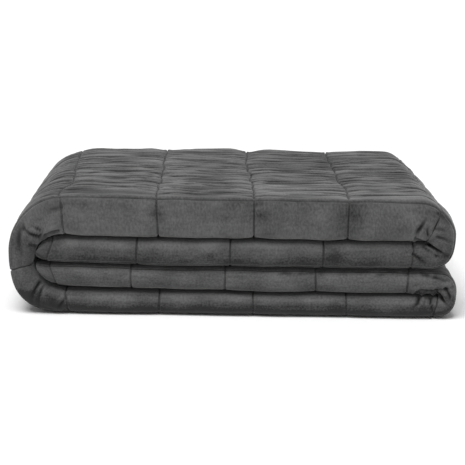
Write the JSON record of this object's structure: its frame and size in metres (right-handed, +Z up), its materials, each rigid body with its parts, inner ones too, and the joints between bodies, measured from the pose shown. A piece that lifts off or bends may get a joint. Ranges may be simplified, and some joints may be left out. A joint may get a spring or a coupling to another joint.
{
  "type": "weighted blanket",
  "caption": "Quilted plush blanket with a heavy filling, folded into a flat stack of four bands for a shelf or a bed.",
  "frame": {"origin": "on the surface that the folded blanket lies on, under the middle of its box", "axes": "+X along the bands, from the wrap towards the two side folds; +Y from the front folds to the back; +Z up"},
  "size_m": [0.4786, 0.3709, 0.1287],
  "materials": {
    "plush": "brushed plush pile, matt with a soft sheen"
  },
  "bodies": {
    "root": {"blanket": "plush"}
  },
  "joints": []
}
